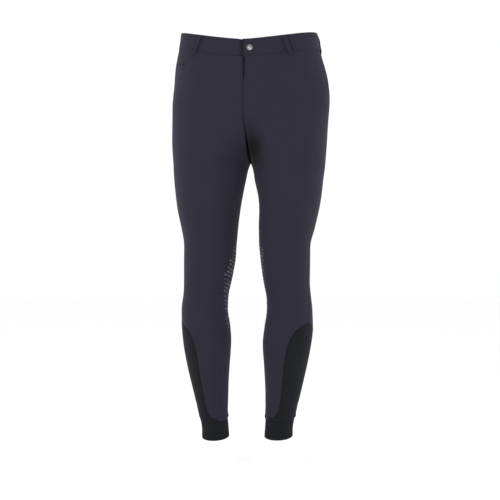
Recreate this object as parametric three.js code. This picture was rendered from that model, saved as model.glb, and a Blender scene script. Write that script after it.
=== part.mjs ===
// Men's riding breeches, filled out as worn. Millimetres and degrees, +Z up, the front faces -Y, +X is the
// wearer's left. The origin is the centre of the waist, where the wearer holds the garment up.
import * as THREE from "three";

// Driving sizes
const seamGap = 0.3;
const clothWall = 1.6;
const cuffWall = 1.5;
const bandWall = 2.6;
const bandHeight = 40;
const bandProud = 0.5;
const waistTop = 17.5; // top edge of the waistband at the sides
const frontDip = 31.1; // how much lower the waistband lies at the centre front
const backRise = 1.5;
const dipPower = 1.5; // how sharply the waistband bends down towards the centre front
const dipEase = 0.45; // how much of that bend runs out flat at the sides and the middle
const waistTilt = 3.6; // the wearer's left side of the waist is lower by this much, and the right one higher
const dipFade = 150; // the dip has died out this far below the origin
const cuffTop = -885;
const hemLevel = -929;
const hemTilt = 5; // the front of the hem is this much lower than its middle
const hemTiltStart = -800;
const leftLegLift = 4.5; // the left leg's seams lie this much higher from the knee down
const liftStart = -560;
const liftEnd = -640;
const crotchLevel = -284;
const pocketEnd = -141; // where the pocket mouth meets the side seam
const insertApex = -659;
const insertStart = insertApex - 2; // the insert's point is cut off this far below the seam's end
const cuffInset = 1.4; // the cuff is drawn in from the leg
const lapPastMiddle = 2.5; // the left end of the waistband laps the middle by this much
const underlapReach = 32; // and the right end runs on under it this far past the middle
const lapClearance = 0.4;
const flyOpening = 2.8; // the fly's left edge stands open by this much below the waistband
const flyClosed = -118; // it is closed below this level, and fully open flyFade above it
const flyFade = 30;
const pocketLip = 0.8; // the pocket's lip stands off this much, and the right one gapes more
const lipAngle = 9;
const lipGape = { rise: 2.2, level: -66, reach: 22 };
const facingWall = 1.2;
const facingPastMouth = 8;
const facingDepth = clothWall + lapClearance;
const loopWidth = 12;
const loopWall = 1.6;
const loopStandOff = 1.9;
const loopBelowBand = 9;
const snapRadius = 7;
const snapRise = 2.6;
const snapFromMiddle = 14.3;

const navyCloth = { color: 0x34323d, roughness: 0.9, metalness: 0 };
const blackCloth = { color: 0x232529, roughness: 0.85, metalness: 0 };
const silverMetal = { color: 0x9a9a9b, roughness: 0.35, metalness: 1 };

// One row a level: how far the cloth reaches outwards, inwards, forwards and back from the wearer's middle,
// where it is widest, how square its ring is, and how far the leg is turned and leans over.
// Above the crotch the inner reach lies past the middle, earlier on the back (seat) than in front, and the
// cloth ends at the middle.
const sections = [
  {
    z: 60, outer: 158, inner: -158, seat: -158,
    front: -98, widest: 2, back: 99, square: 2.3, turn: 0, sway: 0,
  },
  {
    z: 0, outer: 163, inner: -163, seat: -163,
    front: -104, widest: 1, back: 101, square: 2.3, turn: 0, sway: 0,
  },
  {
    z: -40, outer: 170, inner: -170, seat: -170,
    front: -109, widest: 2, back: 108, square: 2.28, turn: 0, sway: 0,
  },
  {
    z: -95, outer: 181, inner: -181, seat: -181,
    front: -113, widest: 4, back: 121, square: 2.25, turn: 0, sway: 0,
  },
  {
    z: -135, outer: 184, inner: -184, seat: -184,
    front: -113, widest: 4, back: 129, square: 2.2, turn: 0, sway: 0,
  },
  {
    z: -165, outer: 183.5, inner: -178, seat: -183,
    front: -112, widest: 3, back: 129, square: 2.18, turn: 0, sway: 0,
  },
  {
    z: -190, outer: 183, inner: -122, seat: -165,
    front: -111, widest: 2, back: 127, square: 2.14, turn: 0, sway: -0.5,
  },
  {
    z: -213, outer: 182.5, inner: -68, seat: -115,
    front: -110, widest: 1, back: 123, square: 2.11, turn: 0, sway: -1,
  },
  {
    z: -236, outer: 182, inner: -38, seat: -68,
    front: -109, widest: 0, back: 117, square: 2.08, turn: 0, sway: -1.5,
  },
  {
    z: -258, outer: 180.5, inner: -18, seat: -32,
    front: -107, widest: -1, back: 109, square: 2.05, turn: 0, sway: -2,
  },
  {
    z: -272, outer: 179.5, inner: -7.5, seat: -13,
    front: -106, widest: -2, back: 104, square: 2.02, turn: 0, sway: -2,
  },
  {
    z: -284, outer: 178.5, inner: 0.2, seat: 0.2,
    front: -105, widest: -3, back: 100, square: 2, turn: 0, sway: -2,
  },
  {
    z: -310, outer: 176.5, inner: 8, seat: 8,
    front: -103, widest: -5, back: 92, square: 2, turn: 0, sway: -2.3,
  },
  {
    z: -385, outer: 167.5, inner: 22, seat: 22,
    front: -99, widest: -12, back: 73, square: 2, turn: 1, sway: -2.6,
  },
  {
    z: -442, outer: 155, inner: 25.5, seat: 25.5,
    front: -95, widest: -19, back: 57, square: 2, turn: 2, sway: -3,
  },
  {
    z: -482, outer: 147.3, inner: 27.2, seat: 27.2,
    front: -94, widest: -24, back: 46, square: 2, turn: 2, sway: -4,
  },
  {
    z: -560, outer: 146.5, inner: 37.2, seat: 37.2,
    front: -95, widest: -33, back: 30, square: 2, turn: 2, sway: -4.3,
  },
  {
    z: -600, outer: 150.5, inner: 45.2, seat: 45.2,
    front: -94, widest: -34, back: 28, square: 2, turn: 3, sway: -4.4,
  },
  {
    z: -630, outer: 153.5, inner: 46.8, seat: 46.8,
    front: -88, widest: -30, back: 33, square: 2, turn: 4, sway: -4.6,
  },
  {
    z: -667, outer: 154.3, inner: 41.5, seat: 41.5,
    front: -80, widest: -22, back: 42, square: 2, turn: 5, sway: -5.2,
  },
  {
    z: -705, outer: 150.5, inner: 37.9, seat: 37.9,
    front: -74, widest: -15, back: 47, square: 2, turn: 6, sway: -6.3,
  },
  {
    z: -761, outer: 139.8, inner: 42, seat: 42,
    front: -64, widest: -9, back: 46, square: 2, turn: 6, sway: -7.6,
  },
  {
    z: -818, outer: 126.4, inner: 44.8, seat: 44.8,
    front: -51, widest: -3, back: 43, square: 2, turn: 6, sway: -8.2,
  },
  {
    z: -873, outer: 113.5, inner: 44.5, seat: 44.5,
    front: -39, widest: 1, back: 40, square: 2, turn: 6, sway: -9,
  },
  {
    z: -912, outer: 107, inner: 42.3, seat: 42.3,
    front: -35, widest: 2, back: 38.5, square: 2, turn: 6, sway: -8.8,
  },
  {
    z: -945, outer: 106.5, inner: 41, seat: 41,
    front: -35, widest: 2, back: 38.5, square: 2, turn: 6, sway: -8.8,
  },
];

// How far the middle between the two halves lies off to the wearer's left
const middleLean = [
  { z: 60, shift: 0 },
  { z: -190, shift: 0 },
  { z: -213, shift: 2 },
  { z: -226, shift: 3.3 },
  { z: -284, shift: 3.4 },
  { z: -385, shift: 4 },
  { z: -442, shift: 2.6 },
  { z: -600, shift: 2.9 },
  { z: -640, shift: 1.5 },
  { z: -760, shift: 0.6 },
  { z: -945, shift: 0 },
];

// Where the seams run, as angles round the ring: 0 at the outer side, 90 at the front, 180 at the inner side.
const sideSeam = [
  { z: 60, angle: 0 },
  { z: -300, angle: 0 },
  { z: -480, angle: 9 },
  { z: -592, angle: 19 },
  { z: -660, angle: 26 },
  { z: -945, angle: 26 },
];
const insertFront = [
  { z: -600, angle: 20 },
  { z: -659, angle: 26 },
  { z: -666, angle: 46 },
  { z: -680, angle: 63 },
  { z: -700, angle: 73 },
  { z: -726, angle: 78 },
  { z: -766, angle: 81 },
  { z: -832, angle: 82 },
  { z: -860, angle: 84 },
  { z: -872, angle: 91 },
  { z: -880, angle: 103 },
  { z: -885, angle: 126 },
];
const insertBack = [
  { z: -600, angle: 24 },
  { z: -659, angle: 26 },
  { z: -668, angle: 6 },
  { z: -684, angle: -14 },
  { z: -706, angle: -30 },
  { z: -740, angle: -43 },
  { z: -790, angle: -52 },
  { z: -840, angle: -56 },
  { z: -885, angle: -58 },
];
const pocketMouth = [
  { z: 0, angle: 20 },
  { z: -50, angle: 13 },
  { z: -100, angle: 8 },
  { z: -128, angle: 3.5 },
  { z: -141, angle: 0.4 },
];

// Levels of the panels' rows: bands with a start, an end and a number of steps
const panelBands = [
  { from: waistTop - bandHeight, to: -141, steps: 6 },
  { from: -141, to: -180, steps: 2 },
  { from: -180, to: -265, steps: 5 },
  { from: -265, to: crotchLevel, steps: 4 },
  { from: crotchLevel, to: -310, steps: 2 },
  { from: -310, to: -560, steps: 6 },
  { from: -560, to: insertApex, steps: 4 },
  { from: insertApex, to: insertStart, steps: 1 },
  { from: insertStart, to: -706, steps: 5 },
  { from: -706, to: -860, steps: 4 },
  { from: -860, to: cuffTop, steps: 4 },
];
const panelColumns = 12;

// Belt loops: the body half, and the angle at the top and at the foot of the loop
const beltLoops = [
  { side: 1, top: 60, foot: 56.2 },
  { side: -1, top: 57, foot: 51 },
  { side: 1, top: -10, foot: -11 },
  { side: -1, top: -10, foot: -11 },
  { side: 1, top: -90, foot: -90 },
];
const coinPocket = { side: -1, from: 28.5, to: 37, mouth: -55.7, height: 11, proud: 1.2 };
const flyUnderlap = { right: -22, left: 24, top: -58, bottom: -165 };

const radians = (degrees) => (degrees * Math.PI) / 180;

function smoothStep(share) {
  const s = Math.min(Math.max(share, 0), 1);
  return s * s * (3 - 2 * s);
}

// A smooth curve through one column of a table of levels, which never overshoots its rows
function curveOf(rows, key) {
  const z = rows.map((row) => row.z);
  const v = rows.map((row) => row[key]);
  const slope = (i) => (v[i + 1] - v[i]) / (z[i + 1] - z[i]);
  const tangent = z.map((_, i) => {
    if (i === 0) return slope(0);
    if (i === z.length - 1) return slope(i - 1);
    const before = slope(i - 1);
    const after = slope(i);
    return before * after <= 0 ? 0 : (2 * before * after) / (before + after);
  });
  return (level) => {
    let i = 0;
    while (i < z.length - 2 && level < z[i + 1]) i += 1;
    const span = z[i + 1] - z[i];
    const t = Math.min(Math.max((level - z[i]) / span, 0), 1);
    const rest = 1 - t;
    const start = rest * rest * (1 + 2 * t) * v[i] + rest * rest * t * span * tangent[i];
    const end = t * t * (3 - 2 * t) * v[i + 1] - t * t * rest * span * tangent[i + 1];
    return start + end;
  };
}

const ring = {};
for (const key of ["outer", "inner", "seat", "front", "widest", "back", "square", "turn", "sway"]) {
  ring[key] = curveOf(sections, key);
}
const sideSeamAngle = curveOf(sideSeam, "angle");
const insertFrontAngle = curveOf(insertFront, "angle");
const insertBackAngle = curveOf(insertBack, "angle");
const pocketMouthAngle = curveOf(pocketMouth, "angle");
const leanAt = curveOf(middleLean, "shift");

const signedPower = (value, power) => Math.sign(value) * Math.abs(value) ** power;

// The middle and half width of one half's ring
function ringSpan(side, level, towardsBack) {
  const inner = (towardsBack ? ring.seat(level) : ring.inner(level)) + side * leanAt(level);
  return { middle: (ring.outer(level) + inner) / 2, reach: (ring.outer(level) - inner) / 2 };
}

// The cloth's outer face at a level and an angle; side is 1 for the wearer's left half and -1 for the right.
function clothPoint(side, level, angle) {
  const power = 2 / ring.square(level);
  const sine = Math.sin(radians(angle));
  const { middle, reach } = ringSpan(side, level, sine <= 0);
  const depth = sine > 0 ? ring.widest(level) - ring.front(level) : ring.back(level) - ring.widest(level);
  const x = side * (middle + reach * signedPower(Math.cos(radians(angle)), power));
  const y = ring.widest(level) - depth * signedPower(sine, power);
  const centreX = side * middle;
  const centreY = (ring.front(level) + ring.back(level)) / 2;
  const turn = -radians(ring.turn(level));
  const dx = x - centreX;
  const dy = y - centreY;
  return new THREE.Vector3(
    centreX + dx * Math.cos(turn) - dy * Math.sin(turn) + ring.sway(level),
    centreY + dx * Math.sin(turn) + dy * Math.cos(turn),
    level,
  );
}

function clothNormal(side, level, angle) {
  const round = clothPoint(side, level, angle + 0.5).sub(clothPoint(side, level, angle - 0.5));
  const up = clothPoint(side, level + 0.5, angle).sub(clothPoint(side, level - 0.5, angle));
  return round.cross(up).multiplyScalar(-side).normalize();
}

// A point moved out from the cloth's outer face
function offCloth(side, level, angle, out) {
  return clothPoint(side, level, angle).addScaledVector(clothNormal(side, level, angle), out);
}

// The angle that lies a distance along the ring from another angle
function angleBeyond(side, level, angle, distance) {
  const perDegree = clothPoint(side, level, angle + 0.5).distanceTo(clothPoint(side, level, angle - 0.5));
  return angle + distance / perDegree;
}

// The angle at which a ring passes a given distance from the wearer's middle
function angleAtX(side, level, x, towardsBack) {
  const { middle, reach } = ringSpan(side, level, towardsBack);
  const cosine = Math.min(Math.max((x - middle) / reach, -1), 1);
  const found = THREE.MathUtils.radToDeg(Math.acos(signedPower(cosine, ring.square(level) / 2)));
  return towardsBack ? -found : found;
}

function legLift(side, row) {
  return side > 0 ? leftLegLift * smoothStep((liftStart - row) / (liftStart - liftEnd)) : 0;
}

// The waistband dips in front, and the hem is lower in front: a row's level at an angle
function levelAt(side, row, angle) {
  const sine = Math.sin(radians(angle));
  const share = Math.asin(Math.abs(sine)) / (Math.PI / 2);
  const bend = dipEase * smoothStep(share) + (1 - dipEase) * share ** dipPower;
  const dip = sine > 0 ? -frontDip * bend : backRise * bend;
  const tilt = -side * waistTilt * Math.cos(radians(angle));
  const waistShare = smoothStep((row + dipFade) / (dipFade + waistTop - bandHeight));
  const hemShare = smoothStep((row - hemTiltStart) / (cuffTop - hemTiltStart));
  return row + (dip + tilt) * waistShare - hemTilt * sine * hemShare + legLift(side, row);
}

// A closed wall from a grid of points: pointAt(row, column, inside) gives its outer and inner faces.
function wall(name, finish, rows, columns, side, pointAt, closedRound = false) {
  const stride = columns + (closedRound ? 0 : 1);
  const faceSize = (rows + 1) * stride;
  const points = [];
  for (const inside of [false, true]) {
    for (let r = 0; r <= rows; r += 1) {
      for (let c = 0; c < stride; c += 1) points.push(pointAt(r, c, inside));
    }
  }
  const at = (r, c, inside) => (inside ? faceSize : 0) + r * stride + (c % stride);
  const index = [];
  const quad = (a, b, c, d) => {
    if (side > 0) index.push(a, b, c, a, c, d);
    else index.push(a, c, b, a, d, c);
  };
  for (let r = 0; r < rows; r += 1) {
    for (let c = 0; c < columns; c += 1) {
      quad(at(r, c, false), at(r, c + 1, false), at(r + 1, c + 1, false), at(r + 1, c, false));
      quad(at(r, c, true), at(r + 1, c, true), at(r + 1, c + 1, true), at(r, c + 1, true));
    }
  }
  for (let c = 0; c < columns; c += 1) {
    quad(at(0, c, false), at(0, c, true), at(0, c + 1, true), at(0, c + 1, false));
    quad(at(rows, c, false), at(rows, c + 1, false), at(rows, c + 1, true), at(rows, c, true));
  }
  if (!closedRound) {
    for (let r = 0; r < rows; r += 1) {
      quad(at(r, 0, false), at(r + 1, 0, false), at(r + 1, 0, true), at(r, 0, true));
      quad(at(r, columns, false), at(r, columns, true), at(r + 1, columns, true), at(r + 1, columns, false));
    }
  }
  const geometry = new THREE.BufferGeometry();
  geometry.setAttribute("position", new THREE.Float32BufferAttribute(points.flatMap((p) => p.toArray()), 3));
  geometry.setIndex(index);
  geometry.computeVertexNormals();
  const mesh = new THREE.Mesh(geometry, new THREE.MeshStandardMaterial(finish));
  mesh.name = name;
  return mesh;
}

// A wall whose rows lie at levels and whose columns lie at angles given by angleAt
function panel(name, finish, side, levels, columns, angleAt, out = () => 0, thick = clothWall) {
  return wall(name, finish, levels.length - 1, columns, side, (r, c, inside) => {
    const level = levelAt(side, levels[r], angleAt(levels[r], c));
    const angle = angleAt(level, c);
    const offset = out(level, angle, levels[r]) - (inside ? thick : 0);
    return offCloth(side, level, angle, offset);
  });
}

// Columns spread evenly from one seam to another
function between(start, end, columns) {
  return (level, column) => THREE.MathUtils.lerp(start(level), end(level), column / columns);
}

function levelsOf(bands) {
  const levels = [bands[0].from];
  for (const band of bands) {
    for (let i = 1; i <= band.steps; i += 1) levels.push(band.from + ((band.to - band.from) * i) / band.steps);
  }
  return levels;
}

const sideName = (side) => (side > 0 ? "left" : "right");
const halfGap = seamGap / 2;
const bandFoot = waistTop - bandHeight;

// The fly's edge on the wearer's left stands open a little below the waistband.
function flyEdgeX(side, level) {
  if (side < 0) return halfGap;
  return halfGap + flyOpening * smoothStep((level - flyClosed) / flyFade);
}

function frontInner(side, level) {
  if (level <= crotchLevel) return angleBeyond(side, level, 180, -halfGap);
  return angleAtX(side, level, flyEdgeX(side, level) + side * leanAt(level), false);
}

function backInner(side, level) {
  if (level <= crotchLevel) return angleBeyond(side, level, -180, halfGap);
  return angleAtX(side, level, halfGap + side * leanAt(level), true);
}

// The side seam, which runs on as the insert's front or back seam below its point
function outerSeam(side, level, insertAngle) {
  const seamLevel = level - legLift(side, level);
  return seamLevel > insertApex ? sideSeamAngle(seamLevel) : insertAngle(seamLevel);
}

function frontOuter(side, level) {
  const seam = level > pocketEnd ? pocketMouthAngle(level) : outerSeam(side, level, insertFrontAngle);
  return angleBeyond(side, level, seam, halfGap);
}

function backOuter(side, level) {
  return angleBeyond(side, level, outerSeam(side, level, insertBackAngle), -halfGap);
}

function frontPanel(side) {
  const start = (level) => frontOuter(side, level);
  const end = (level) => frontInner(side, level);
  const angles = between(start, end, panelColumns);
  // The pocket's lip stands off a little, most on the wearer's right, where the mouth gapes.
  const lip = (level, angle) => {
    if (level <= pocketEnd) return 0;
    const gape = side < 0 ? lipGape.rise * Math.exp(-(((level - lipGape.level) / lipGape.reach) ** 2)) : 0;
    return (pocketLip + gape) * (1 - smoothStep((angle - pocketMouthAngle(level)) / lipAngle));
  };
  return panel(`front_${sideName(side)}`, navyCloth, side, levelsOf(panelBands), panelColumns, angles, lip);
}

function backPanel(side) {
  const start = (level) => backInner(side, level);
  const end = (level) => backOuter(side, level);
  const angles = between(start, end, panelColumns);
  return panel(`back_${sideName(side)}`, navyCloth, side, levelsOf(panelBands), panelColumns, angles);
}

function calfInsert(side) {
  const columns = 8;
  const start = (level) => angleBeyond(side, level, outerSeam(side, level, insertBackAngle), halfGap);
  const end = (level) => angleBeyond(side, level, outerSeam(side, level, insertFrontAngle), -halfGap);
  const levels = levelsOf(panelBands).filter((level) => level <= insertStart + 0.01);
  return panel(`calf_insert_${sideName(side)}`, blackCloth, side, levels, columns, between(start, end, columns));
}

function cuff(side) {
  const rows = 4;
  const columns = 30;
  const top = cuffTop - seamGap;
  return wall(`cuff_${sideName(side)}`, blackCloth, rows, columns, side, (r, c, inside) => {
    const angle = (360 * c) / columns;
    const level = levelAt(side, THREE.MathUtils.lerp(top, hemLevel, r / rows), angle);
    return offCloth(side, level, angle, -cuffInset - (inside ? cuffWall : 0));
  }, true);
}

const bandLevels = levelsOf([{ from: waistTop, to: bandFoot + seamGap, steps: 3 }]);

function waistbandLeft() {
  const columns = 20;
  const start = (level) => angleAtX(1, level, halfGap, true);
  const end = (level) => angleAtX(1, level, -lapPastMiddle, false);
  const angles = between(start, end, columns);
  return panel("waistband_left", navyCloth, 1, bandLevels, columns, angles, () => bandProud, bandWall);
}

// The right half steps inwards before the middle and runs on under the left half's end.
function waistbandRight() {
  const stepStart = 8.5;
  const stepEnd = lapPastMiddle + 0.9;
  const stations = [
    { columns: 18, x: stepStart },
    { columns: 2, x: stepEnd },
    { columns: 3, x: -underlapReach },
  ];
  const columns = stations.reduce((sum, station) => sum + station.columns, 0);
  const angles = (level, column) => {
    let from = angleAtX(-1, level, halfGap, true);
    let left = column;
    for (const station of stations) {
      const to = angleAtX(-1, level, station.x, false);
      if (left <= station.columns) return THREE.MathUtils.lerp(from, to, left / station.columns);
      left -= station.columns;
      from = to;
    }
    return from;
  };
  const out = (level, angle) => {
    const x = -clothPoint(-1, level, angle).x;
    const under = angle > 0 ? smoothStep((stepStart - x) / (stepStart - stepEnd)) : 0;
    return bandProud - (bandWall + lapClearance) * under;
  };
  return panel("waistband_right", navyCloth, -1, bandLevels, columns, angles, out, bandWall);
}

function beltLoop(loop, number) {
  const top = waistTop - 1;
  const foot = bandFoot - loopBelowBand;
  const levels = levelsOf([{ from: top, to: foot, steps: 10 }]);
  const columns = 2;
  const angles = (level, column) => {
    const middle = THREE.MathUtils.mapLinear(level, top, foot, loop.top, loop.foot);
    return angleBeyond(loop.side, level, middle, loopWidth * (column / columns - 0.5));
  };
  const out = (_level, _angle, row) => {
    const onBand = bandProud * smoothStep((row - bandFoot + 4) / 4);
    const fromEnd = Math.min(top - row, row - foot);
    return seamGap + loopWall + onBand + loopStandOff * smoothStep((fromEnd - 3) / 10);
  };
  return panel(`belt_loop_${number}`, navyCloth, loop.side, levels, columns, angles, out, loopWall);
}

// The cloth inside the pocket's mouth: level with the back at the side seam, and under the front past the mouth
function pocketFacing(side) {
  const columns = 6;
  const start = (level) => angleBeyond(side, level, 0, halfGap);
  const end = (level) => angleBeyond(side, level, pocketMouthAngle(level), facingPastMouth);
  const out = (level, angle) => {
    const towardsMouth = smoothStep(angle / (0.7 * pocketMouthAngle(level)));
    const towardsFoot = smoothStep((-70 - level) / 45);
    return -facingDepth * Math.max(towardsMouth, towardsFoot);
  };
  const levels = levelsOf([{ from: bandFoot - 1, to: pocketEnd, steps: 8 }]);
  const angles = between(start, end, columns);
  return panel(`pocket_facing_${sideName(side)}`, navyCloth, side, levels, columns, angles, out, facingWall);
}

function coinPocketLip() {
  const { side, from, to, mouth, height, proud } = coinPocket;
  const columns = 5;
  const levels = levelsOf([{ from: mouth, to: mouth - height, steps: 3 }]);
  const angles = between(() => from, () => to, columns);
  const out = (_level, _angle, row) => seamGap + clothWall + proud * smoothStep((row - mouth + height) / height);
  return panel("coin_pocket", navyCloth, side, levels, columns, angles, out);
}

function flyUnderlapStrip() {
  const { right, left, top, bottom } = flyUnderlap;
  const columns = 4;
  const levels = levelsOf([{ from: top + frontDip, to: bottom, steps: 6 }]);
  const start = (level) => angleAtX(1, level, left, false);
  const end = (level) => angleAtX(1, level, right, false);
  const angles = between(start, end, columns);
  return panel("fly_underlap", navyCloth, 1, levels, columns, angles, () => -facingDepth, facingWall);
}

function snapCap() {
  const profile = [
    [0, 0],
    [snapRadius - 0.4, 0],
    [snapRadius, 0.4],
    [snapRadius - 0.3, 1.1],
    [snapRadius * 0.72, snapRise * 0.74],
    [snapRadius * 0.4, snapRise * 0.92],
    [0, snapRise],
  ];
  const geometry = new THREE.LatheGeometry(profile.map(([x, y]) => new THREE.Vector2(x, y)), 24);
  const cap = new THREE.Mesh(geometry, new THREE.MeshStandardMaterial(silverMetal));
  cap.name = "snap_cap";
  const level = levelAt(1, waistTop - bandHeight / 2, 90);
  const angle = angleAtX(1, level, snapFromMiddle, false);
  cap.position.copy(offCloth(1, level, angle, bandProud + seamGap + 0.1));
  cap.quaternion.setFromUnitVectors(new THREE.Vector3(0, 1, 0), clothNormal(1, level, angle));
  return cap;
}

const breeches = new THREE.Group();
breeches.add(waistbandLeft(), waistbandRight(), flyUnderlapStrip(), coinPocketLip(), snapCap());
for (const side of [1, -1]) {
  breeches.add(frontPanel(side), backPanel(side), calfInsert(side), cuff(side), pocketFacing(side));
}
beltLoops.forEach((loop, i) => breeches.add(beltLoop(loop, i + 1)));

export default breeches;
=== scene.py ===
import math
import bpy
import numpy as np
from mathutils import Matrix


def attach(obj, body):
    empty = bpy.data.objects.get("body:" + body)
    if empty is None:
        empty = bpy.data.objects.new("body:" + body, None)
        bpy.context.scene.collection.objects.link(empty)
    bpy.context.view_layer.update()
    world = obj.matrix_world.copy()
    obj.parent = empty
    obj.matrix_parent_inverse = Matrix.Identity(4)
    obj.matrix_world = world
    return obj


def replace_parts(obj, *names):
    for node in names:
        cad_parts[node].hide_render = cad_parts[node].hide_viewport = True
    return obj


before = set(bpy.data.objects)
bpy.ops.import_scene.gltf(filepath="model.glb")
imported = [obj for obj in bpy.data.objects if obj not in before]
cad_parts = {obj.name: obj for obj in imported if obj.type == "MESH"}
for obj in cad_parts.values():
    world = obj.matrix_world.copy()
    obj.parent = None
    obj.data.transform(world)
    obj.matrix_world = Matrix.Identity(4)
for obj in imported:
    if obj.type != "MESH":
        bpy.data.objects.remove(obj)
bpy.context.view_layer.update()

mm = 0.001

# The worn form, level by level, in millimetres: how far the cloth reaches outwards, inwards (and inwards on
# the seat), forwards and back, where it is widest, how square its ring is, and how a leg turns and leans.
form = {
    "level": [60, 0, -40, -95, -135, -165, -190, -213, -236, -258, -272, -284, -310, -385, -442, -482,
              -560, -600, -630, -667, -705, -761, -818, -873, -912, -945],
    "outer": [158, 163, 170, 181, 184, 183.5, 183, 182.5, 182, 180.5, 179.5, 178.5, 176.5, 167.5, 155, 147.3,
              146.5, 150.5, 153.5, 154.3, 150.5, 139.8, 126.4, 113.5, 107, 106.5],
    "inner": [-158, -163, -170, -181, -184, -178, -122, -68, -38, -18, -7.5, 0.2, 8, 22, 25.5, 27.2,
              37.2, 45.2, 46.8, 41.5, 37.9, 42, 44.8, 44.5, 42.3, 41],
    "seat": [-158, -163, -170, -181, -184, -183, -165, -115, -68, -32, -13, 0.2, 8, 22, 25.5, 27.2,
             37.2, 45.2, 46.8, 41.5, 37.9, 42, 44.8, 44.5, 42.3, 41],
    "front": [-98, -104, -109, -113, -113, -112, -111, -110, -109, -107, -106, -105, -103, -99, -95, -94,
              -95, -94, -88, -80, -74, -64, -51, -39, -35, -35],
    "widest": [2, 1, 2, 4, 4, 3, 2, 1, 0, -1, -2, -3, -5, -12, -19, -24,
               -33, -34, -30, -22, -15, -9, -3, 1, 2, 2],
    "back": [99, 101, 108, 121, 129, 129, 127, 123, 117, 109, 104, 100, 92, 73, 57, 46,
             30, 28, 33, 42, 47, 46, 43, 40, 38.5, 38.5],
    "square": [2.3, 2.3, 2.28, 2.25, 2.2, 2.18, 2.14, 2.11, 2.08, 2.05, 2.02, 2, 2, 2, 2, 2,
               2, 2, 2, 2, 2, 2, 2, 2, 2, 2],
    "turn": [0, 0, 0, 0, 0, 0, 0, 0, 0, 0, 0, 0, 0, 1, 2, 2, 2, 3, 4, 5, 6, 6, 6, 6, 6, 6],
    "sway": [0, 0, 0, 0, 0, 0, -0.5, -1, -1.5, -2, -2, -2, -2.3, -2.6, -3, -4,
             -4.3, -4.4, -4.6, -5.2, -6.3, -7.6, -8.2, -9, -8.8, -8.8],
}

# How far the middle between the two halves lies off to the wearer's left, by level
middleLean = [(60, 0), (-190, 0), (-213, 2), (-226, 3.3), (-284, 3.4), (-385, 4), (-442, 2.6), (-600, 2.9),
              (-640, 1.5), (-760, 0.6), (-945, 0)]

# Small shifts in x that each leg's outer and inner outline has for itself, by level. They follow offsets that
# were measured between a render's outline and the photo's, on every sixth row of pixels, and thinned.
ease = {
    "rightOuter": [
        (60, -1.2), (14, -1.2), (-28, -1.6), (-48, 0), (-71, 2.8), (-99, 3.4), (-127, 1.8), (-148, -0.6),
        (-212, -0.7), (-254, -0.5), (-296, -0.2), (-395, -0.2), (-451, 0.7), (-508, 0), (-564, 1), (-592, 3),
        (-621, 2.1), (-677, 2.3), (-705, 2), (-748, 1.1), (-804, 0.5), (-945, 0.3)],
    "rightInner": [
        (60, 0), (-305, 0), (-324, 1.1), (-353, 1.2), (-395, 0), (-437, -0.6), (-480, -0.9), (-508, 0.5),
        (-536, 0.4), (-578, -0.9), (-606, -0.3), (-649, 1.5), (-677, 1.2), (-705, 0.5), (-748, 1),
        (-804, 1.1), (-874, 0.2), (-945, 1)],
    "leftOuter": [
        (60, -2.9), (-14, -2.9), (-28, -2.4), (-42, -1), (-57, 0), (-71, 1), (-99, 2), (-148, 2.8),
        (-184, 1.2), (-226, 0.4), (-268, 1), (-296, 1), (-324, 0), (-395, 0.3), (-437, 0.9), (-466, 0),
        (-494, 0.6), (-550, 1.6), (-606, 0.6), (-649, 0.7), (-691, 1.3), (-748, 1.8), (-804, 2.4),
        (-860, 2.8), (-945, 3.4)],
    "leftInner": [
        (60, 0), (-305, 0), (-324, -0.6), (-367, 0.7), (-409, 0), (-437, -1.1), (-466, -0.6), (-494, 0.5),
        (-564, 1.1), (-606, 0.5), (-649, 0.2), (-804, 0), (-846, 0.6), (-874, 0.4), (-945, 0.4)],
}

# Seams as angles round the ring: 0 is the outer side, 90 the front, 180 the inner side and -90 the back.
seams = {
    "side": [(60, 0), (-300, 0), (-480, 9), (-592, 19), (-660, 26), (-945, 26)],
    "insertFront": [(-600, 20), (-659, 26), (-666, 46), (-680, 63), (-700, 73), (-726, 78), (-766, 81),
                    (-832, 82), (-860, 84), (-872, 91), (-880, 103), (-885, 126)],
    "insertBack": [(-600, 24), (-659, 26), (-668, 6), (-684, -14), (-706, -30), (-740, -43), (-790, -52),
                   (-840, -56), (-885, -58)],
    "pocket": [(0, 20), (-50, 13), (-100, 8), (-128, 3.5), (-141, 0.4)],
}

cut = {
    "seamGap": 0.06,
    "wall": 1.6,
    "waistTop": 17.5,
    "bandHeight": 40,
    "frontDip": 31.1,
    "backRise": 1.5,
    "dipPower": 1.5,
    "dipEase": 0.45,
    "waistTilt": 3.6,
    "dipFade": 150,
    "cuffTop": -885,
    "hemLevel": -929,
    "hemTilt": 5,
    "hemTiltStart": -800,
    "leftLegLift": 4.5,
    "liftStart": -560,
    "liftEnd": -640,
    "crotch": -284,
    "pocketEnd": -141,
    "insertApex": -659,
}
bandFoot = cut["waistTop"] - cut["bandHeight"]
halfGap = cut["seamGap"] / 2


def softStep(share):
    s = np.clip(share, 0, 1)
    return s * s * (3 - 2 * s)


def bell(distance, width):
    return np.exp(-((distance / width) ** 2))


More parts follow.
